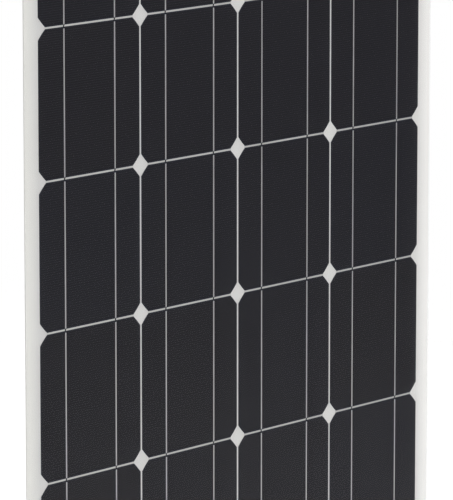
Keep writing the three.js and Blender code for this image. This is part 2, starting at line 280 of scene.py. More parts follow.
def ramp(value, low, high, to_low=0, to_high=1):
    inputs = {"Value": value, "From Min": low, "From Max": high, "To Min": to_low, "To Max": to_high}
    return node(value.id_data, "MapRange", inputs, clamp=True).outputs["Result"]


def blend_colours(share, first, second):
    inputs = {0: share, 6: first, 7: second}
    return node(share.id_data, "Mix", inputs, data_type="RGBA").outputs[2]


def noise(tree, scale, detail, vector=None):
    """Its grain is one metre over scale. It is read at vector, or else at the place at rest, which is
    stored in the mesh, so that a pattern bends with the sheet."""
    inputs = {"Scale": scale, "Detail": detail, "Vector": vector or attribute(tree, REST_PLACE)["Vector"]}
    return node(tree, "TexNoise", inputs).outputs["Fac"]


def streaks(tree, scale):
    """Noise drawn out by multiplying each coordinate of the place at rest by its own scale."""
    inputs = {"Vector": attribute(tree, REST_PLACE)["Vector"], "Scale": scale}
    return noise(tree, 1, 4, node(tree, "Mapping", inputs).outputs["Vector"])


def bump(height, strength, depth_mm):
    inputs = {"Height": height, "Strength": strength, "Distance": depth_mm * MM}
    return node(height.id_data, "Bump", inputs).outputs["Normal"]


def show(shader, output="OutputMaterial"):
    node(shader.id_data, output, {"Surface": shader.outputs[0]})


def mix_shaders(share, first, second):
    inputs = {0: share, 1: first.outputs[0], 2: second.outputs[0]}
    return node(share.id_data, "MixShader", inputs)


def principled(colour, roughness, inputs=None):
    inputs = {"Base Color": colour, "Roughness": roughness, **(inputs or {})}
    show(node(colour.id_data, "BsdfPrincipled", inputs))


def grey(value):
    return (value, value, value, 1)


def grained(tree, grain, tones, roughness, relief, peaks=False, metallic=0):
    """Tone, gloss and bump that all follow one noise. grain is its scale and detail, relief is the
    bump's strength and its depth in millimetres, and peaks leaves the second tone to the noise's peaks."""
    pattern = noise(tree, *grain)
    colour = blend_colours(ramp(pattern, *NOISE_PEAKS) if peaks else pattern, *tones)
    inputs = {"Metallic": metallic, "Normal": bump(pattern, *relief)}
    principled(colour, ramp(pattern, *MOST_NOISE, *roughness), inputs)


# ---- Materials ----


def silicon(tree):
    """A dark wafer with a bluer rim, printed fingers and a faint unevenness of its coating."""
    place = attribute(tree, WAFER_PLACE)["Vector"]
    across, tone, along = separated(place)
    half = CELL_HALF / MM
    from_sides = [maths("SUBTRACT", half, maths("ABSOLUTE", way)) for way in (across, along)]
    squares = maths("ADD", *(maths("POWER", way, 2) for way in (across, along)))
    from_arc = maths("SUBTRACT", WAFER_RADIUS / MM, maths("SQRT", squares))
    edge = maths("MINIMUM", maths("MINIMUM", *from_sides), from_arc)
    rim = ramp(edge, *RIM_MM, 1, 0)

    turn = maths("FRACT", maths("DIVIDE", along, FINGER_PITCH_MM))
    from_line = maths("ABSOLUTE", maths("SUBTRACT", turn, 0.5))
    half_line = FINGER_WIDTH_MM / FINGER_PITCH_MM / 2
    finger = ramp(from_line, *(half_line * share for share in FINGER_EDGE), 1, 0)
    printed = maths("MULTIPLY", finger, ramp(edge, *FINGER_MARGIN_MM))

    clouds = noise(tree, 0.035, 2, place)
    base = blend_colours(clouds, (0.0042, 0.0036, 0.0066, 1), (0.0076, 0.0068, 0.0112, 1))
    toned = blend_colours(tone, base, (0.0056, 0.0060, 0.0120, 1))
    rimmed = blend_colours(maths("MULTIPLY", rim, 0.75), toned, (0.020, 0.026, 0.038, 1))
    colour = blend_colours(maths("MULTIPLY", printed, 0.5), rimmed, (0.070, 0.070, 0.080, 1))
    principled(colour, 0.4, {"IOR": 1.32})


def backsheet(tree, shade=1):
    """White laminate with a faint glass-cloth weave pressed into it. Its colour holds painted light and
    shade:
    painted shade greys it close to the cells and most in the gaps between rows, and across X the white
    grows brighter towards +X while the gaps grow darker."""
    x, y, z = separated(attribute(tree, REST_PLACE)["Vector"])
    outside = maths("SUBTRACT", maths("ABSOLUTE", x), COLUMN_X[-1] + CELL_HALF)
    behind = ramp(y, BACKSHEET_FRONT, BACKSHEET_FRONT / 2)
    # Painted shade: clear is 1 in the open margin and on the back, and falls to 0 towards the cells, where
    # the white greys.
    clear = maths("MAXIMUM", ramp(outside, 0, CELL_SHADE_REACH), behind)

    # Painted shade in the gaps between rows: on the front only, within the cells' span and away from the
    # wafers' cut corners.
    from_gap = maths("PINGPONG", maths("SUBTRACT", z, GAP_Z[1]), ROW_PITCH / 2)
    from_corner = maths("PINGPONG", x, COLUMN_PITCH / 2)
    row_gap_shade = maths("LESS_THAN", from_gap, ROW_PITCH / 2 - CELL_HALF + GAP_SHADE_TUCK)
    for test in (
        maths("LESS_THAN", maths("ABSOLUTE", z), ROW_Z[1]),
        maths("GREATER_THAN", from_corner, CORNER_REACH),
        maths("LESS_THAN", outside, 0),
        maths("SUBTRACT", 1, behind),
    ):
        row_gap_shade = maths("MULTIPLY", row_gap_shade, test)

    # Painted light and shade across the sheet: 0 at -X and 1 at +X, made a little uneven by the noise. The
    # open white and the white near the cells grow brighter towards +X, and the row gaps darker.
    clouds = maths("MULTIPLY", maths("SUBTRACT", noise(tree, 9, 3), 0.5), 0.4)
    side = maths("ADD", ramp(x, -SHEET_HALF, SHEET_HALF), clouds, clamp=True)
    tones = []
    for pair in BACKSHEET_TONES:
        tone_at_minus_x, tone_at_plus_x = [(*(channel * shade for channel in tone), 1) for tone in pair]
        tones.append(blend_colours(side, tone_at_minus_x, tone_at_plus_x))
    open_white, shade_near_cells, shade_in_row_gaps = tones
    # Blend in the painted shade near the cells, then the painted shade in the gaps between rows.
    colour = blend_colours(clear, shade_near_cells, open_white)
    colour = blend_colours(row_gap_shade, colour, shade_in_row_gaps)

    weave_scale = 2 * math.pi / WEAVE_PITCH
    warp, weft = [maths("SINE", maths("MULTIPLY", way, weave_scale)) for way in (x, z)]
    weave = maths("MULTIPLY", warp, weft)
    uneven = maths("ADD", maths("MULTIPLY", weave, 0.35), noise(tree, 140, 2))
    roughness = ramp(noise(tree, 30, 3), *MOST_NOISE, 0.42, 0.58)
    inputs = {"Normal": bump(uneven, 0.35, 0.04), "Specular IOR Level": 0.35}
    principled(colour, roughness, inputs)


def film(tree):
    """Clear satin film: what is behind it shows, and its gloss grows towards grazing angles."""
    normal = bump(noise(tree, 14, 2), 0.25, 0.35)
    through = node(tree, "BsdfTransparent", {"Color": grey(0.97)})
    gloss = node(tree, "BsdfAnisotropic", {"Color": grey(1), "Roughness": 0.3, "Normal": normal})
    share = node(tree, "Fresnel", {"IOR": 1.12, "Normal": normal})
    show(mix_shaders(share.outputs[0], through, gloss))


def film_back(tree):
    """The film's bonded inner face, which has no gloss of its own."""
    show(node(tree, "BsdfTransparent", {"Color": grey(1)}))


def tinned(tree):
    """Tinned copper, streaked along its length, with painted shade that makes it nearly black where it is
    stretched down between cells.
    """
    drawn = streaks(tree, (2600, 2600, 90))
    bright = blend_colours(drawn, (0.55, 0.55, 0.56, 1), (0.75, 0.75, 0.755, 1))
    # Painted shade: nearly black where the ribbon dips between rows.
    colour = blend_colours(attribute(tree, DIP_SHADE)["Fac"], bright, (0.035, 0.035, 0.040, 1))
    inputs = {"Metallic": 1, "Normal": bump(drawn, 0.3, 0.03)}
    principled(colour, ramp(drawn, *MOST_NOISE, 0.38, 0.52), inputs)


def steel(tree):
    """Stainless eyelets with turned rings, fine scratches and a little grime in the low spots."""
    scratches = streaks(tree, (900, 5200, 1400))
    grime = ramp(noise(tree, 260, 3), *NOISE_PEAKS)
    colour = blend_colours(grime, (0.68, 0.675, 0.66, 1), (0.58, 0.57, 0.55, 1))
    inputs = {"Metallic": 1, "Normal": bump(scratches, 0.1, 0.02)}
    principled(colour, ramp(scratches, *MOST_NOISE, 0.2, 0.3), inputs)


def plastic(tree):
    """Black moulded plastic with spark-eroded grain, greyer on worn edges."""
    mottle = noise(tree, 60, 3)
    point = node(tree, "NewGeometry").outputs["Pointiness"]
    worn = maths("MULTIPLY", ramp(point, 0.56, 0.75), ramp(mottle, 0.35, 0.65))
    body = blend_colours(mottle, (0.0125, 0.0125, 0.0135, 1), (0.019, 0.019, 0.020, 1))
    colour = blend_colours(maths("MULTIPLY", worn, 0.3), body, (0.075, 0.075, 0.078, 1))
    inputs = {"Normal": bump(noise(tree, 2600, 2), 0.12, 0.03)}
    principled(colour, ramp(mottle, *MOST_NOISE, 0.42, 0.56), inputs)


def solder(tree):
    tones = ((0.46, 0.46, 0.47, 1), (0.66, 0.66, 0.67, 1))
    grained(tree, (1500, 3), tones, (0.3, 0.55), (0.4, 0.1), metallic=1)


def rubber(tree):
    """Matt black, with paler dust on it."""
    tones = ((0.020, 0.020, 0.021, 1), (0.05, 0.049, 0.047, 1))
    grained(tree, (380, 4), tones, (0.68, 0.85), (0.3, 0.05), peaks=True)


def silicone(tree):
    """The smoothed bead of grey-black sealant round the box's foot."""
    tones = ((0.022, 0.022, 0.023, 1), (0.034, 0.034, 0.035, 1))
    grained(tree, (260, 2), tones, (0.26, 0.4), (0.4, 0.2))


def diode_case(tree):
    tones = ((0.014, 0.014, 0.015, 1), (0.024, 0.024, 0.025, 1))
    grained(tree, (1900, 2), tones, (0.3, 0.42), (0.3, 0.04))


def diode_band(tree):
    """The grey ring printed on a diode, worn through in spots."""
    wear = ramp(noise(tree, 1200, 3), *NOISE_PEAKS)
    principled(blend_colours(wear, grey(0.58), grey(0.30)), 0.5)


SILICON = make_material("silicon", silicon)
BACKSHEET = make_material("backsheet_white", backsheet)
IMPRINT = make_material("backsheet_over_wafers", backsheet, shade=0.93)
FILM = make_material("clear_film", film)
FILM_FACE = make_material("bonded_film_face", film_back)
TINNED = make_material("tinned_copper", tinned)
SOLDER = make_material("solder", solder)
STEEL = make_material("stainless_steel", steel)
PLASTIC = make_material("moulded_plastic", plastic)
RUBBER = make_material("gasket_rubber", rubber)
SILICONE = make_material("silicone_sealant", silicone)
DIODE_CASE = make_material("diode_case", diode_case)
DIODE_BAND = make_material("diode_band", diode_band)

# ---- Mesh helpers ----


class Shape:
    """Vertices and faces gathered from several closed forms, with a material number for each face."""

    def __init__(self):
        self.points = []
        self.faces = []
        self.face_materials = []

    def add(self, points, faces, material=0):
        """Returns the number of the first new vertex."""
        first = len(self.points)
        self.points.extend(tuple(p) for p in points)
        self.faces.extend(tuple(first + i for i in face) for face in faces)
        self.face_materials.extend([material] * len(faces))
        return first

    def mesh(self, name):
        made = bpy.data.meshes.new(name)
        made.from_pydata(self.points, [], self.faces)
        return made

    def piece(self, name, materials, carrier, replaced, slot, smooth):
        """carrier is a body's name, or a strip's number for a strip's piece, which is left without a body
        and with its transform applied. smooth is the least angle of a sharp edge, in degrees, or 0 for flat
        faces."""
        mesh = self.mesh(name)
        for material in materials:
            mesh.materials.append(material)
        mesh.polygons.foreach_set("material_index", self.face_materials)
        mesh.update()
        if smooth:
            mesh.polygons.foreach_set("use_smooth", [True] * len(mesh.polygons))
            mesh.set_sharp_from_angle(angle=math.radians(smooth))
        store(mesh, REST_PLACE, self.points)
        made = new_object(name, mesh)
        if carrier in GAP_Z:
            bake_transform(made)
        else:
            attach(made, carrier)
        if replaced:
            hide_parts(*replaced)
        return mesh


def store(mesh, name, values):
    """Keeps a number or a vector for each vertex, which a material can read."""
    numbers = np.array(values, np.float32)
    kind, key = ("FLOAT_VECTOR", "vector") if numbers.ndim == 2 else ("FLOAT", "value")
    mesh.attributes.new(name, kind, "POINT").data.foreach_set(key, numbers.ravel())


def loft(shape, loops, caps=True, closed=False, material=0):
    """Joins loops of equal length with quads. Closed joins the last loop to the first, without caps."""
    count = len(loops[0])
    last = (len(loops) - 1) * count
    steps = range(len(loops) if closed else len(loops) - 1)
    faces = []
    for step in steps:
        low, high = step * count, (step + 1) % len(loops) * count
        for i in range(count):
            j = (i + 1) % count
            faces.append((low + i, low + j, high + j, high + i))
    if caps and not closed:
        faces.append(tuple(reversed(range(count))))
        faces.append(tuple(range(last, last + count)))
    shape.add([p for loop in loops for p in loop], faces, material)


def inside(point, loops):
    """Whether a flat point lies inside the first of some closed loops and outside the others."""
    x, z = point
    within = False
    for loop in loops:
        for (x0, z0), (x1, z1) in zip(loop, loop[1:] + loop[:1]):
            if (z0 > z) != (z1 > z) and x < (x1 - x0) * (z - z0) / (z1 - z0) + x0:
                within = not within
    return within


def triangles_between(outer, holes, creases=()):
    """Triangles of the area inside outer and outside every hole, as numbers into outer + holes.
    creases are pairs of numbers into outer that have to be joined by an edge."""
    loops = [outer, *holes]
    flat = [Vector(p) for loop in loops for p in loop]
    edges = list(creases)
    first = 0
    for loop in loops:
        edges += [(first + i, first + (i + 1) % len(loop)) for i in range(len(loop))]
        first += len(loop)
    made, _, faces, sources, _, _ = geometry.delaunay_2d_cdt(flat, edges, [], 0, 1e-9)
    found = []
    for face in faces:
        centre = sum((made[i] for i in face), Vector((0, 0))) / len(face)
        if inside(centre, loops):
            found.append(tuple(sources[i][0] for i in face))
    return found


def flat_area(shape, outer, holes, y, faces_front, creases=(), material=0):
    """A flat face with holes, at one depth."""
    points = [(x, y, z) for loop in (outer, *holes) for x, z in loop]
    faces = triangles_between(outer, holes, creases)
    # Counter-clockwise in X and Z looks along -Y, towards the lit side.
    if not faces_front:
        faces = [tuple(reversed(face)) for face in faces]
    shape.add(points, faces, material)


def wall(shape, back, front, outwards=True, seams=()):
    """Quads between two counter-clockwise loops, each given with its depth. seams are the heights where
    two strips meet, and the quads that lie there get the second material."""
    first, second = at_depth(*back), at_depth(*front)
    count = len(first)
    start = shape.add([*first, *second], [])
    for i in range(count):
        j = (i + 1) % count
        face = (i, j, count + j, count + i) if outwards else (i, count + i, count + j, j)
        shape.faces.append(tuple(start + k for k in face))
        shape.face_materials.append(int(any(first[i][2] == first[j][2] == z for z in seams)))


def at_depth(loop, y):
    return [(x, y, z) for x, z in loop]


def arc(centre, radius, start, end, steps):
    angles = [start + (end - start) * i / steps for i in range(steps + 1)]
    return [(centre[0] + radius * math.cos(a), centre[1] + radius * math.sin(a)) for a in angles]


def ring(x, z, radius, steps):
    return arc((x, z), radius, 0, 2 * math.pi, steps)[:-1]


def rounded_rectangle(x0, x1, z0, z1, radii, steps=CORNER_STEPS):
    """Counter-clockwise from the top right corner, as radii are."""
    corners = ((x1, z1, -1, -1), (x0, z1, 1, -1), (x0, z0, 1, 1), (x1, z0, -1, 1))
    loop = []
    for quarter, ((x, z, into_x, into_z), radius) in enumerate(zip(corners, radii)):
        if radius:
            start = quarter * math.pi / 2
            centre = (x + into_x * radius, z + into_z * radius)
            loop += arc(centre, radius, start, start + math.pi / 2, steps)
        else:
            loop.append((x, z))
    return loop


def turned(shape, profile, place, axis, steps=ROUND_STEPS, closed=False, material=0, radius_at=None):
    """A profile of (radius, distance along the axis) turned about X or Y through place."""
    loops = []
    for radius, along in profile:
        loop = []
        for i in range(steps):
            angle = 2 * math.pi * i / steps
            r = radius_at(angle, radius) if radius_at else radius
            c, s = r * math.cos(angle), r * math.sin(angle)
            offset = (along, c, s) if axis == "X" else (s, along, c)
            loop.append(tuple(place[k] + offset[k] for k in range(3)))
        loops.append(loop)
    loft(shape, loops, closed=closed, material=material)


def scaled(profile):
    return [(a * MM, b * MM) for a, b in profile]


def block(shape, low, high, edge):
    """A box from its lower back corner to its upper front one, rounded by edge and eased at its front."""
    (x0, back, z0), (x1, front, z1) = low, high
    ease = edge / 2
    radii = (edge,) * 4
    full = rounded_rectangle(x0, x1, z0, z1, radii, 3)
    less = rounded_rectangle(x0 + ease, x1 - ease, z0 + ease, z1 - ease, radii, 3)
    loft(shape, [at_depth(full, back), at_depth(full, front + ease), at_depth(less, front)])


# ---- Laminate ----


def cell_outline(grow):
    """One wafer about its own middle: a square whose corners are cut by the round slice."""
    half = CELL_HALF + grow
    radius = WAFER_RADIUS + grow
    start = math.acos(half / radius)
    loop = []
    for corner in range(4):
        turn = corner * math.pi / 2
        loop += arc((0, 0), radius, turn + start, turn + math.pi / 2 - start, CELL_ARC_STEPS)
    return loop


def loft_wafer(shape, x, z, layers):
    """layers are (how far outside the wafer's outline, depth) pairs."""
    loft(shape, [[(x + a, y, z + b) for a, b in cell_outline(grow)] for grow, y in layers])


def add_cells():
    """Each wafer keeps the place of its points about its own middle, and its tone where Y would be."""
    random = np.random.default_rng(7)
    layers = ((0, CELL_BACK), (0, CELL_FRONT + WAFER_EDGE), (-WAFER_EDGE, CELL_FRONT))
    for row in range(1, ROWS + 1):
        for column in range(1, COLUMNS + 1):
            shape = Shape()
            cell = cell_node(row, column)
            place = middle(cell)
            loft_wafer(shape, place.x, place.z, layers)
            name = f"wafer_r{row}c{column}"
            mesh = shape.piece(name, [SILICON], body_of_row(row), [cell], "silicon", smooth=0)
            tone = float(random.uniform(0, 0.55))
            values = [((x - place.x) / MM, tone, (z - place.z) / MM) for x, _, z in shape.points]
            store(mesh, WAFER_PLACE, values)


def strip_outline(strip, inset=0):
    """A strip's outline, drawn in by inset at the sheet's own edges, and its creases, which are edges
    across the gap between its rows, where it bends. The first and the last strip end with the sheet."""
    is_first, is_last = strip == 1, strip == STRIPS
    side = SHEET_HALF - inset
    radius = SHEET_CORNER - inset
    top = SHEET_TOP - inset if is_first else ROW_Z[strip]
    bottom = SHEET_BOTTOM + inset if is_last else ROW_Z[strip + 1]
    upper = radius if is_first else 0
    lower = radius if is_last else 0
    loop = rounded_rectangle(-side, side, bottom, top, (upper, upper, lower, lower))
    heights = np.linspace(GAP_Z[strip] + BEND_HALF, GAP_Z[strip] - BEND_HALF, BEND_LOOPS)
    left = 2 * (CORNER_STEPS + 1 if is_first else 1)
    loop[left:left] = [(-side, float(z)) for z in heights]
    loop += [(side, float(z)) for z in reversed(heights)]
    creases = [(left + i, len(loop) - 1 - i) for i in range(BEND_LOOPS)]
    return loop, creases


def eyelet_holes(strip):
    places = [middle(name) for name, row in EYELETS if row in (strip, strip + 1)]
    return [ring(place.x, place.z, EYELET_HOLE, 40) for place in places]


def lead_slot():
    """The slot through the film and the box's floor, where the three lead ribbons come up."""
    x, z = SLOT[0] / 2, SLOT[1] / 2
    return rounded_rectangle(-x, x, BOX_Z - z, BOX_Z + z, (1 * MM,) * 4, 3)


def add_skin(shape, strip, holes, face, far, seams=(), far_material=0):
    """A strip of film or backsheet, from its outer face with an eased edge to its bonded far face."""
    outline, creases = strip_outline(strip)
    inner, _ = strip_outline(strip, EDGE_CHAMFER)
    in_front = face < far
    eased = face + math.copysign(EDGE_CHAMFER, far - face)
    layers = [(inner, face), (outline, eased), (outline, far)]
    flat_area(shape, inner, holes, face, in_front, creases)
    for pair in zip(layers, layers[1:]):
        front, back = pair if in_front else reversed(pair)
        wall(shape, back, front, seams=seams)
    flat_area(shape, outline, holes, far, not in_front, creases, far_material)
    for hole in holes:
        wall(shape, (hole, max(face, far)), (hole, min(face, far)), outwards=False)


def add_backsheet_strip(strip):
    shape = Shape()
    add_skin(shape, strip, eyelet_holes(strip), -RELIEF_DEPTH, BACKSHEET_FRONT)
    replaced = [f"backsheet_row_{row}" for row in (strip, strip + 1)]
    shape.piece(f"backsheet_strip_{strip}", [BACKSHEET], strip, replaced, "backsheet", smooth=12)


def add_cell_imprints(row):
    """The backs of a row's wafers show through as flat raised shapes, because the laminate sinks between."""
    shape = Shape()
    for x in COLUMN_X:
        loft_wafer(shape, x, ROW_Z[row], scaled(RELIEF_PROFILE))
    replaced = [f"backsheet_row_{row}"]
    name = f"cell_imprints_row_{row}"
    shape.piece(name, [IMPRINT], body_of_row(row), replaced, "backsheet", smooth=10)


def add_film_strip(strip):
    """Clear film with a glossy face and edge, and a bonded inner face."""
    shape = Shape()
    holes = eyelet_holes(strip) + ([lead_slot()] if strip == 1 else [])
    seams = (ROW_Z[strip], ROW_Z[strip + 1])
    add_skin(shape, strip, holes, FILM_FRONT, FILM_BACK, seams, far_material=1)
    shape.piece(f"film_strip_{strip}", [FILM, FILM_FACE], strip, ["front_film"], "film", smooth=12)


# ---- Ribbons ----

BUS_FRONT = RIBBON_FRONT + RIBBON_THICKNESS * 0.4
BUS_REACH = COLUMN_X[-1] + RIBBON_OFFSET + RIBBON_WIDTH / 2


def ribbon_section(x, y, z):
    """A ribbon's section across X, with its front edges eased. y is the front face."""
    half = RIBBON_WIDTH / 2
    ease = RIBBON_THICKNESS * 0.35
    right = [(half, RIBBON_THICKNESS), (half, ease), (half - ease, 0)]
    left = [(-a, b) for a, b in reversed(right)]
    return [(x + a, y + b, z) for a, b in left[-1:] + right + left[:-1]]


def ribbon_paths(strip, outer):
    """Two stretches of one ribbon, as (front depth, height, how much painted shade) from the top down. The
    first leaves a row, dips through the gap and ends behind the next row. The second lies on that row. outer
    says that the ribbon belongs to an outer column."""
    gap = GAP_Z[strip]
    start, end = ROW_Z[strip], ROW_Z[strip + 1]
    foot, next_top = start - CELL_HALF, end + CELL_HALF
    if strip == 1:
        start = CELLS_TOP + (LEAD_BUS_RISE if outer else CENTRE_BUS_RISE) + BUS_WIDTH / 2
    if strip == STRIPS:
        end = CELLS_BOTTOM - CENTRE_BUS_RISE - BUS_WIDTH / 2
    behind = BACKSHEET_FRONT - RIBBON_THICKNESS / 2
    bends = (start, gap + BEND_HALF, foot + DIP_EASE)
    leaving = [(RIBBON_FRONT, z, 0) for z in bends]
    # The third number is painted shade. It is none on the wafer and grows past the wafer's lower edge to
    # full in the dip.
    leaving += [(RIBBON_FRONT, foot + DIP_EASE / 5, 0.8), (RIBBON_FRONT, foot, 1)]
    leaving += [((RIBBON_FRONT + behind) / 2, gap, 1), (behind, next_top, 1)]
    lying = [(RIBBON_FRONT, z, 0) for z in (next_top - RIBBON_START, gap - BEND_HALF, end)]
    return leaving, lying


def add_ribbon_strip(strip):
    shape = Shape()
    dip_shade = []
    for x, outer in RIBBON_PLACES:
        for path in ribbon_paths(strip, outer):
            sections = [ribbon_section(x, y, z) for y, z, _ in path]
            loft(shape, sections)
            # Painted shade for each vertex, taken from the path.
            dip_shade += [dip_shading for _, _, dip_shading in path for _ in sections[0]]
    mesh = shape.piece(f"ribbon_strip_{strip}", [TINNED], strip, RIBBON_NODES, "ribbon", smooth=40)
    store(mesh, DIP_SHADE, dip_shade)


def bus_strip(shape, x0, x1, z0, z1, y):
    """A flat bus ribbon with eased edges."""
    block(shape, (x0, y + RIBBON_THICKNESS, z0), (x1, y, z1), edge=0.1 * MM)


def solder_joint(shape, x, z):
    """A low smooth lump where a ribbon is soldered to a bus."""
    profile = [(0.05, 0), (1.35, 0), (1.2, 0.07), (0.85, 0.15), (0.4, 0.19), (0.02, 0.2)]
    loops = []
    for radius, height in profile:
        y = RIBBON_FRONT - height * 0.7 * MM
        loops.append([(x + a * 0.8, y, z + b * 1.3) for a, b in ring(0, 0, radius * MM, 20)])
    loft(shape, loops, material=1)


def add_lead_end(shape, x, y):
    """A ribbon's end, bent up through the slot into the box."""
    half = BUS_WIDTH / 2
    path = [(0, -0.6, 0.5), (-0.25, -0.2, 0.5), (-0.7, 0, 1), (-6.3, 0.1, 1)]
    loops = []
    for depth_mm, height_mm, thicknesses in path:
        z = BOX_Z + height_mm * MM
        low = z - RIBBON_THICKNESS * thicknesses
        flat = [(x - half, low), (x - half, z), (x + half, z), (x + half, low)]
        loops.append(at_depth(flat, y + depth_mm * MM))
    loft(shape, loops)


def add_top_bus():
    """The link of the two middle strings, a bus on each side of it, and three leads up into the box."""
    shape = Shape()
    half = BUS_WIDTH / 2
    link_reach = COLUMN_X[COLUMNS // 2] + RIBBON_OFFSET + RIBBON_WIDTH / 2
    link_z = CELLS_TOP + CENTRE_BUS_RISE
    lead_z = CELLS_TOP + LEAD_BUS_RISE
    lead_front = BUS_FRONT - RIBBON_THICKNESS / 2
    bus_strip(shape, -link_reach, link_reach, link_z, link_z + BUS_WIDTH, BUS_FRONT)
    for x0, x1 in ((-BUS_REACH, half - LEAD_SPACING), (LEAD_SPACING - half, BUS_REACH)):
        bus_strip(shape, x0, x1, lead_z, lead_z + BUS_WIDTH, BUS_FRONT)
    for x, low in ((-LEAD_SPACING, lead_z), (0, link_z), (LEAD_SPACING, lead_z)):
        bus_strip(shape, x - half, x + half, low, BOX_Z, lead_front)
        add_lead_end(shape, x, lead_front)
    for x, outer in RIBBON_PLACES:
        solder_joint(shape, x, (lead_z if outer else link_z) + half)
    replaced = ["centre_bus_ribbon", *RIBBON_NODES]
    shape.piece("top_bus_ribbons", [TINNED, SOLDER], body_of_row(1), replaced, "ribbon", smooth=40)


def add_foot_bus():
    """Two buses below the last row, each of which joins two strings."""
    shape = Shape()
    low = CELLS_BOTTOM - CENTRE_BUS_RISE - BUS_WIDTH
    inner = COLUMN_X[COLUMNS // 2] - RIBBON_OFFSET - RIBBON_WIDTH / 2
    for x0, x1 in ((-BUS_REACH, -inner), (inner, BUS_REACH)):
        bus_strip(shape, x0, x1, low, low + BUS_WIDTH, BUS_FRONT)
    for x, _ in RIBBON_PLACES:
        solder_joint(shape, x, low + BUS_WIDTH / 2)
    shape.piece("foot_bus_ribbons", [TINNED, SOLDER], body_of_row(ROWS), RIBBON_NODES, "ribbon", smooth=40)


# ---- Eyelets ----


def add_eyelets():
    """Rolled stainless eyelets: a domed flange in front and a crimped washer behind."""
    front = [(5, -2.56), (7.45, -2.56), (7.72, -2.72), (7.62, -2.98), (7.2, -3.1), (6.4, -3.15)]
    roll = [(5.4, -3.15), (4.85, -3.08), (4.45, -2.86), (4.28, -2.5), (4.25, -1.6), (4.25, -0.4)]
    crimp = [(4.32, 0.2), (4.55, 0.5), (4.95, 0.64), (5.4, 0.6), (5.7, 0.42), (5.75, 0.36)]
    washer = [(7.3, 0.4), (7.65, 0.3), (7.7, 0.05), (7.55, -0.26), (5, -0.26), (4.85, -0.35)]
    profile = scaled(front + roll + crimp + washer)
    for eyelet, row in EYELETS:
        place = middle(eyelet)
        shape = Shape()
        turned(shape, profile, (place.x, 0, place.z), "Y", closed=True)
        shape.piece(f"rolled_{eyelet}", [STEEL], body_of_row(row), [eyelet], "eyelet_steel", smooth=50)


# ---- Junction box ----


def box_profile(rows, back):
    """Loops round the box from (inset, depth in front of back) pairs in millimetres."""
    loops = []
    for inset, depth in scaled(rows):
        x = BOX_HALF_WIDTH - inset
        radius = max(BOX_CORNER - inset, BOX_LEAST_CORNER)
        loop = rounded_rectangle(-x, x, BOX_BOTTOM + inset, BOX_TOP - inset, (radius,) * 4)
        loops.append(at_depth(loop, back - depth))
    return loops


def tub():
    """The box's foot, walls, gasket ledge and slotted floor, as one closed form."""
    foot = [(-3, 0), (-3, 0.9), (-2.85, 1.25), (-2.5, 1.42), (-0.75, 1.5), (-0.25, 1.7)]
    outside = [(-0.02, 2.3), (0.15, 16.4), (0.25, 16.8), (0.55, 17)]
    rim = [(1.55, 17), (1.85, 16.85), (2, 16.5), (2, 14.1), (2.1, 14)]
    within = [(3.35, 14), (3.5, 13.85), (3.65, 2.1), (3.85, 1.65), (4.3, 1.5)]
    loops = box_profile(foot + outside + rim + within, BOX_BACK)
    under, floor = [[(x, z) for x, _, z in loop] for loop in (loops[0], loops[-1])]
    floor_y = loops[-1][0][1]
    slot = lead_slot()
    shape = Shape()
    loft(shape, loops, caps=False)
    flat_area(shape, floor, [slot], floor_y, faces_front=True)
    flat_area(shape, under, [slot], BOX_BACK, faces_front=False)
    wall(shape, (slot, BOX_BACK), (slot, floor_y), outwards=False)
    return shape


def drilled(shape, radius, y, z, reach):
    """The same form, welded, with a round hole along X right through it."""
    bore = Shape()
    turned(bore, [(radius, -reach), (radius, reach)], (0, y, z), "X")
    target = new_object("undrilled", shape.mesh("undrilled"))
    cutter = new_object("drill", bore.mesh("drill"))
    form = bmesh.new()
    form.from_mesh(target.data)
    bmesh.ops.remove_doubles(form, verts=form.verts, dist=WELD_REACH)
    form.to_mesh(target.data)
    form.free()
    modifier = target.modifiers.new("bore", "BOOLEAN")
    modifier.operation = "DIFFERENCE"
    modifier.solver = "EXACT"
    modifier.object = cutter
    bpy.context.view_layer.update()
    evaluated = target.evaluated_get(bpy.context.evaluated_depsgraph_get())
    mesh = bpy.data.meshes.new_from_object(evaluated)
    for scratch in (target, cutter):
        bpy.data.objects.remove(scratch)
    result = Shape()
    result.add([v.co for v in mesh.vertices], [p.vertices for p in mesh.polygons])
    return result


def turn_gland(shape, profile, side, **options):
    """A closed profile of (radius, distance from the box's middle) turned about the axis of the glands."""
    placed = [(radius, side * distance) for radius, distance in profile]
    if side < 0:
        placed.reverse()
    turned(shape, placed, (0, GLAND_Y, BOX_Z), "X", closed=True, **options)


def thread_profile(base, start, end):
    """The outside of a moulded thread, as (radius, distance) pairs from start to end beyond base."""
    profile = []
    for turn in range(int((end - start) / THREAD_PITCH)):
        along = start + turn * THREAD_PITCH
        for share, depth in ((0, 1), (0.15, 1), (0.4, 0), (0.6, 0), (0.85, 1)):
            distance = base + (along + share * THREAD_PITCH)
            profile.append((SPOUT_RADIUS - depth * THREAD_DEPTH, distance))
    return profile


def add_spout(shape, side):
    """A threaded spout with a collar at its foot, rooted a little inside the wall."""
    base = BOX_HALF_WIDTH - SPOUT_ROOT
    length = SPOUT_LENGTH + SPOUT_ROOT
    collar = 2.4 * MM
    ease = 0.3 * MM
    tip = base + length
    core = SPOUT_RADIUS - THREAD_DEPTH
    foot = [(6.9 * MM, base), (6.9 * MM, base + (collar - 0.5 * MM)), (6.5 * MM, base + collar)]
    thread = thread_profile(base, collar + 0.2 * MM, length - 0.6 * MM)
    mouth = [(core - ease, tip), (SPOUT_BORE + ease, tip), (SPOUT_BORE, tip - ease), (SPOUT_BORE, base)]
    turn_gland(shape, [*foot, (core, base + collar), *thread, *mouth], side)


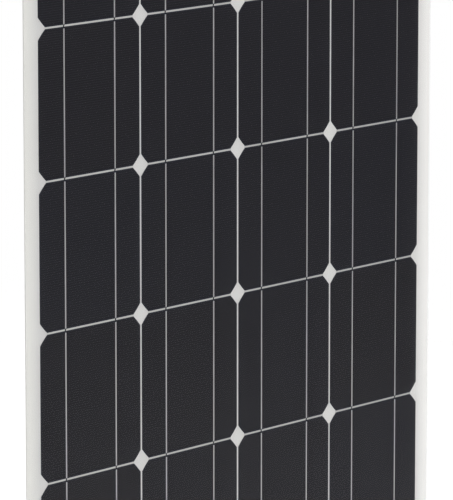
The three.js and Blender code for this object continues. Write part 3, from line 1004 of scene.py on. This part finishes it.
def add_gussets(shape):
    """Small ribs that stiffen the foot along the long walls."""
    half = 0.55 * MM
    foot_y = BOX_BACK - 1.4 * MM
    top_y = BOX_BACK - 7.5 * MM
    for step in (-5, -4, -3, 3, 4, 5):
        x = step * 8.6 * MM
        for side, wall_z in ((-1, BOX_BOTTOM), (1, BOX_TOP)):
            root = wall_z - side * 0.3 * MM
            tip = wall_z + side * 2.4 * MM
            section = [(foot_y, root), (foot_y, tip), (top_y, root)]
            if side > 0:
                section.reverse()
            loft(shape, [[(x_here, y, z) for y, z in section] for x_here in (x + half, x - half)])


def add_ears(shape):
    """Two ears with bores that hold the lid's trunnions."""
    back = HINGE.y + 5 * MM
    foot = BOX_TOP - 0.5 * MM
    outline = [(back, foot), (back, BOX_TOP + 0.6 * MM)]
    outline += arc((HINGE.y, HINGE.z), KNUCKLE_RADIUS, math.radians(50), math.radians(270), 16)
    outline.append((HINGE.y + 0.6 * MM, foot))
    bore = ring(HINGE.y, HINGE.z, EAR_BORE, 24)
    flat = outline + bore
    count = len(flat)
    first = len(outline)
    edges = [(i, (i + 1) % first) for i in range(first)]
    edges += [(first + (i + 1) % len(bore), first + i) for i in range(len(bore))]
    triangles = triangles_between(outline, [bore])
    faces = [tuple(reversed(t)) for t in triangles]
    faces += [tuple(count + i for i in t) for t in triangles]
    faces += [(i, j, count + j, count + i) for i, j in edges]
    inner = KNUCKLE_HALF + 0.4 * MM
    outer = inner + TRUNNION_LENGTH
    for low, high in ((-outer, -inner), (inner, outer)):
        shape.add([(x, y, z) for x in (low, high) for y, z in flat], faces)


def add_diode_rests(shape):
    """Forked posts on the floor that hold the two diodes."""
    floor = BOX_BACK - BOX_FLOOR
    for number in (1, 2):
        place = middle(f"bypass_diode_{number}")
        for x in (place.x - 3.2 * MM, place.x + 3.2 * MM):
            for z in (place.z - 2.1 * MM, place.z + 2.1 * MM):
                low = (x - 0.6 * MM, floor + 0.2 * MM, z - 0.35 * MM)
                high = (x + 0.6 * MM, floor - 1.6 * MM, z + 0.35 * MM)
                block(shape, low, high, edge=0.2 * MM)


def add_box_base():
    shape = drilled(tub(), SPOUT_BORE, GLAND_Y, BOX_Z, BOX_HALF_WIDTH + 10 * MM)
    for side in (-1, 1):
        add_spout(shape, side)
    add_gussets(shape)
    add_ears(shape)
    add_diode_rests(shape)
    shape.piece("box_shell", [PLASTIC], body_of_row(1), ["junction_box_base"], "box_plastic", smooth=35)


def add_sealant():
    """A fillet of sealant between the foot and the film, whose outer edge wavers."""
    shape = Shape()
    rows = ((-2.8, -0.03), (-3.9, -0.03), (-4, 0.02), (-3.5, 0.25), (-3.05, 0.7), (-2.9, 0.9))
    loops = []
    for (inset, _), even in zip(rows, box_profile(rows, BOX_BACK)):
        loop = []
        for index, (x, y, z) in enumerate(even):
            waver = 0.12 * MM * math.sin(index * 2.3) if inset < -3.4 else 0
            loop.append((x + math.copysign(waver, x), y, z + math.copysign(waver, z - BOX_Z)))
        loops.append(loop)
    loft(shape, loops, closed=True)
    shape.piece("foot_sealant", [SILICONE], body_of_row(1), (), "gasket_rubber", smooth=60)


def add_gasket():
    shape = Shape()
    rows = [(3.35, 14.05), (2.45, 14.05), (2.3, 14.2), (2.3, 14.9), (2.55, 15.2), (3.1, 15.2), (3.4, 14.9)]
    loft(shape, box_profile(rows, BOX_BACK), closed=True)
    shape.piece("lid_seal", [RUBBER], body_of_row(1), ["lid_gasket"], "gasket_rubber", smooth=50)


def plus_outline(half, thick):
    """A plus sign about its own middle."""
    quarter = [(half, -thick), (half, thick), (thick, thick)]
    loop = []
    for _ in range(4):
        loop += quarter
        quarter = [(-z, x) for x, z in quarter]
    return loop


def mark(shape, x, upright):
    """A raised minus sign on the lid, or a plus sign."""
    slope = 0.12 * MM
    front = LID_FRONT + 0.2 * MM
    loops = []
    for y, less in ((LID_FRONT + 0.75 * MM, 0), (front + slope, 0), (front, slope)):
        half, thick = 2.6 * MM - less, 0.55 * MM - less
        minus = rounded_rectangle(-half, half, -thick, thick, (0,) * 4)
        flat = plus_outline(half, thick) if upright else minus
        loops.append([(x + a, y, BOX_Z + b) for a, b in flat])
    loft(shape, loops)


def add_knuckle(shape):
    """The lid's hinge barrel with a trunnion at each end, and the web that joins it to the lid."""
    half = [
        (KNUCKLE_RADIUS, KNUCKLE_HALF - 0.2 * MM),
        (KNUCKLE_RADIUS - 0.2 * MM, KNUCKLE_HALF),
        (TRUNNION_RADIUS, KNUCKLE_HALF),
        (TRUNNION_RADIUS, KNUCKLE_HALF + TRUNNION_LENGTH),
    ]
    profile = [(radius, -x) for radius, x in reversed(half)] + half
    turned(shape, profile, tuple(HINGE), "X", steps=32)
    low = (-KNUCKLE_HALF, LID_BACK, BOX_TOP - 1.5 * MM)
    block(shape, low, (KNUCKLE_HALF, LID_FRONT, HINGE.z + 0.6 * MM), edge=0.3 * MM)


def add_tongue(shape):
    """The latch: a tongue that hangs over the lower wall, with ridges for a fingertip."""
    half = 8 * MM
    ease = 0.3 * MM
    top = BOX_BOTTOM + 1.2 * MM
    face = BOX_BOTTOM - 0.4 * MM
    under = face - 1.4 * MM
    back = LID_FRONT + 9 * MM
    section = [(LID_FRONT + 0.9 * MM, top), (LID_BACK - 0.05 * MM, top), (LID_BACK - 0.05 * MM, face)]
    hook = [(0, 1.4), (0.1, -1.8), (-0.3, -2), (-1.3, -1.9), (-2.4, -0.3), (-3.4, 0)]
    section += [(back + y, under + z) for y, z in scaled(hook)]
    section += [(LID_FRONT + y, under + z) for y, z in scaled([(1.6, 0), (0.5, 0.5), (0, 1.6)])]
    centre_y, centre_z = [sum(values) / len(section) for values in zip(*section)]
    loops = []
    for x, shrink in ((-half, 0.03), (-half + ease, 0), (half - ease, 0), (half, 0.03)):
        loops.append([(x, y + (centre_y - y) * shrink, z + (centre_z - z) * shrink) for y, z in section])
    loft(shape, loops)
    for step in range(4):
        y = LID_FRONT + (2.6 + step) * MM
        low = (-half + 1.5 * MM, y + 0.25 * MM, under - 0.25 * MM)
        high = (half - 1.5 * MM, y - 0.25 * MM, under + 0.2 * MM)
        block(shape, low, high, edge=0.1 * MM)


def add_lid():
    shape = Shape()
    lip = [(4, 0), (4, -1.6), (3.8, -1.75), (2.5, -1.75), (2.3, -1.6), (2.3, 0)]
    edge = [(0.4, 0), (0.12, 0.12), (0, 0.4), (0, 1.35), (0.2, 1.85), (0.6, 2.2), (1.2, 2.4)]
    panel = [(3.4, 2.4), (3.7, 2.3), (4.1, 1.85), (4.5, 1.75)]
    loft(shape, box_profile(lip + edge + panel, LID_BACK))
    for step in range(-2, 3):
        z = BOX_Z + step * 4.2 * MM
        low = (-22 * MM, LID_FRONT + 0.8 * MM, z - 0.5 * MM)
        high = (22 * MM, LID_FRONT + 0.3 * MM, z + 0.5 * MM)
        block(shape, low, high, edge=0.25 * MM)
    mark(shape, -38 * MM, upright=False)
    mark(shape, 38 * MM, upright=True)
    add_knuckle(shape)
    add_tongue(shape)
    shape.piece("box_lid_shell", [PLASTIC], "box_lid", ["junction_box_lid"], "box_plastic", smooth=35)


def hexagon_radius(angle, radius):
    """A hexagon with rounded corners, for radii beyond its flats. Smaller radii stay round."""
    if radius <= NUT_HALF_FLATS:
        return radius
    turn = (angle + math.pi / 6) % (math.pi / 3) - math.pi / 6
    return min(NUT_HALF_FLATS / math.cos(turn), radius)


def add_gland_nut(name, side):
    """A domed hexagon nut and the rubber seal that shows in its mouth."""
    node_name = f"gland_nut_{name}"
    start = min(abs(corner.x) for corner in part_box(node_name))
    flats = [(6.2, 0), (7, 0.15), (7.6, 0.7), (7.95, 1.2), (7.95, 7.4), (7.5, 7.9), (6.9, 8.2)]
    dome = [(6.75, 8.5), (6.7, 9.6), (6.35, 10.9), (5.6, 11.7), (4.9, 12)]
    mouth = [(4, 12), (3.5, 11.8), (3.2, 11.3), (3.2, 8.8), (5.7, 8.5), (5.75, 0.3), (5.9, 0)]
    lip = [(3.15, 11), (2.9, 11.25), (2.4, 11.2), (2.25, 10.9), (2.25, 9.2), (3.15, 9.2)]
    nut, seal = [[(r * MM, start + x * MM) for r, x in rows] for rows in (flats + dome + mouth, lip)]
    shape = Shape()
    turn_gland(shape, nut, side, steps=96, radius_at=hexagon_radius)
    shape.piece(f"{name}_gland_cap", [PLASTIC], f"{name}_nut", [node_name], "box_plastic", smooth=35)
    shape = Shape()
    turn_gland(shape, seal, side)
    shape.piece(f"{name}_cable_seal", [RUBBER], f"{name}_nut", (), "gasket_rubber", smooth=50)


def add_diode_lead(shape, place, side):
    """A round wire out of the case and down to the ribbon end below it, ending in a solder lump."""
    radius = 0.55 * MM
    end_z = BOX_Z + 0.25 * MM
    bend = place.x + side * 6.4 * MM
    down = bend + side * 1.2 * MM
    path = [
        (place.x + side * 4.4 * MM, place.z),
        (bend, place.z),
        (bend + side * 0.9 * MM, place.z - 0.4 * MM),
        (down, place.z - 1.2 * MM),
        (down, end_z),
    ]
    loops = []
    for i, (x, z) in enumerate(path):
        (x0, z0), (x1, z1) = path[max(i - 1, 0)], path[min(i + 1, len(path) - 1)]
        run = Vector((x1 - x0, z1 - z0)).normalized()
        wire = ring(0, 0, radius, 12)
        loops.append([(x - run.y * a, place.y + b, z + run.x * a) for a, b in wire])
    loft(shape, loops, material=2)
    loops = []
    for r, height in scaled([(0.1, 0.9), (0.75, 0.7), (1, 0), (0.9, -0.35), (0.1, -0.4)]):
        loops.append([(down + a, place.y + b, end_z + height) for a, b in ring(0, 0, r, 16)])
    loft(shape, loops, material=2)


def add_diodes():
    """Axial diodes with a cathode band, their leads bent down to the ribbon ends."""
    body = [(0.5, -4.5), (2.3, -4.5), (2.6, -4.2), (2.6, 1.7)]
    band = [(2.6, 1.7), (2.62, 1.75), (2.62, 3), (2.6, 3.05)]
    rest = [(2.6, 3.05), (2.6, 4.2), (2.3, 4.5), (0.5, 4.5)]
    materials = [DIODE_CASE, DIODE_BAND, SOLDER]
    for number in (1, 2):
        diode = f"bypass_diode_{number}"
        place = middle(diode)
        shape = Shape()
        for profile, material in ((body, 0), (band, 1), (rest, 0)):
            turned(shape, scaled(profile), tuple(place), "X", steps=40, material=material)
        for side in (-1, 1):
            add_diode_lead(shape, place, side)
        shape.piece(f"diode_{number}", materials, body_of_row(1), [diode], "diode_case", smooth=40)


# ---- Stage ----

FLOOR_FADE = (1.2, 3)  # metres from the sheet
ROOM_STRENGTH = (0.24, 0.75)  # at the horizon and high up


def pale_floor(tree):
    """Pale and matt, fading out into the white surround away from the sheet."""
    place = node(tree, "TexCoord").outputs["Object"]
    distance = node(tree, "VectorMath", {0: place}, operation="LENGTH").outputs["Value"]
    paint = node(tree, "BsdfDiffuse", {"Color": grey(0.93)})
    through = node(tree, "BsdfTransparent", {"Color": grey(1)})
    show(mix_shaders(ramp(distance, *FLOOR_FADE), paint, through))


def add_floor():
    half = FLOOR_FADE[1]
    shape = Shape()
    shape.add([(-half, -half, 0), (half, -half, 0), (half, half, 0), (-half, half, 0)], [(0, 1, 2, 3)])
    mesh = shape.mesh("floor")
    mesh.materials.append(make_material("pale_floor", pale_floor))
    floor = new_object("floor", mesh)
    floor.location.z = SHEET_BOTTOM


def add_light(name, place, size, watts):
    """A soft rectangular light that looks at the middle of the sheet."""
    data = bpy.data.lights.new(name, "AREA")
    data.shape = "RECTANGLE"
    data.size, data.size_y = size
    data.energy = watts
    light = new_object(name, data)
    light.visible_camera = False
    aim(light, place, -Vector(place))


def add_world():
    """White behind the sheet. What lights the sheet is a room that is dim low down and bright above."""
    world = bpy.data.worlds.new("studio")
    bpy.context.scene.world = world
    tree = empty_tree(world)
    direction = node(tree, "TexCoord").outputs["Generated"]
    strength = ramp(separated(direction)["Z"], 0, 0.9, *ROOM_STRENGTH)
    room = node(tree, "Background", {"Color": (1, 0.985, 0.98, 1), "Strength": strength})
    white = node(tree, "Background", {"Color": grey(1), "Strength": 1})
    seen = node(tree, "LightPath").outputs["Is Camera Ray"]
    show(mix_shaders(seen, room, white), "OutputWorld")


add_cells()
for row_number in range(1, ROWS + 1):
    add_cell_imprints(row_number)
for strip_number in range(1, STRIPS + 1):
    add_backsheet_strip(strip_number)
    add_film_strip(strip_number)
    add_ribbon_strip(strip_number)
add_top_bus()
add_foot_bus()
add_eyelets()
add_box_base()
add_sealant()
add_gasket()
add_lid()
add_gland_nut("left", -1)
add_gland_nut("right", 1)
add_diodes()

add_floor()
add_world()
add_light("front_left", (-2.8, -4.2, 2), (2.4, 2.4), 55)
add_light("front_right", (2.6, -3.8, 2.4), (2.4, 2.4), 122)
add_light("back", (0.6, 4.6, 3.4), (3, 2.6), 150)
bpy.context.scene.view_settings.view_transform = "Standard"
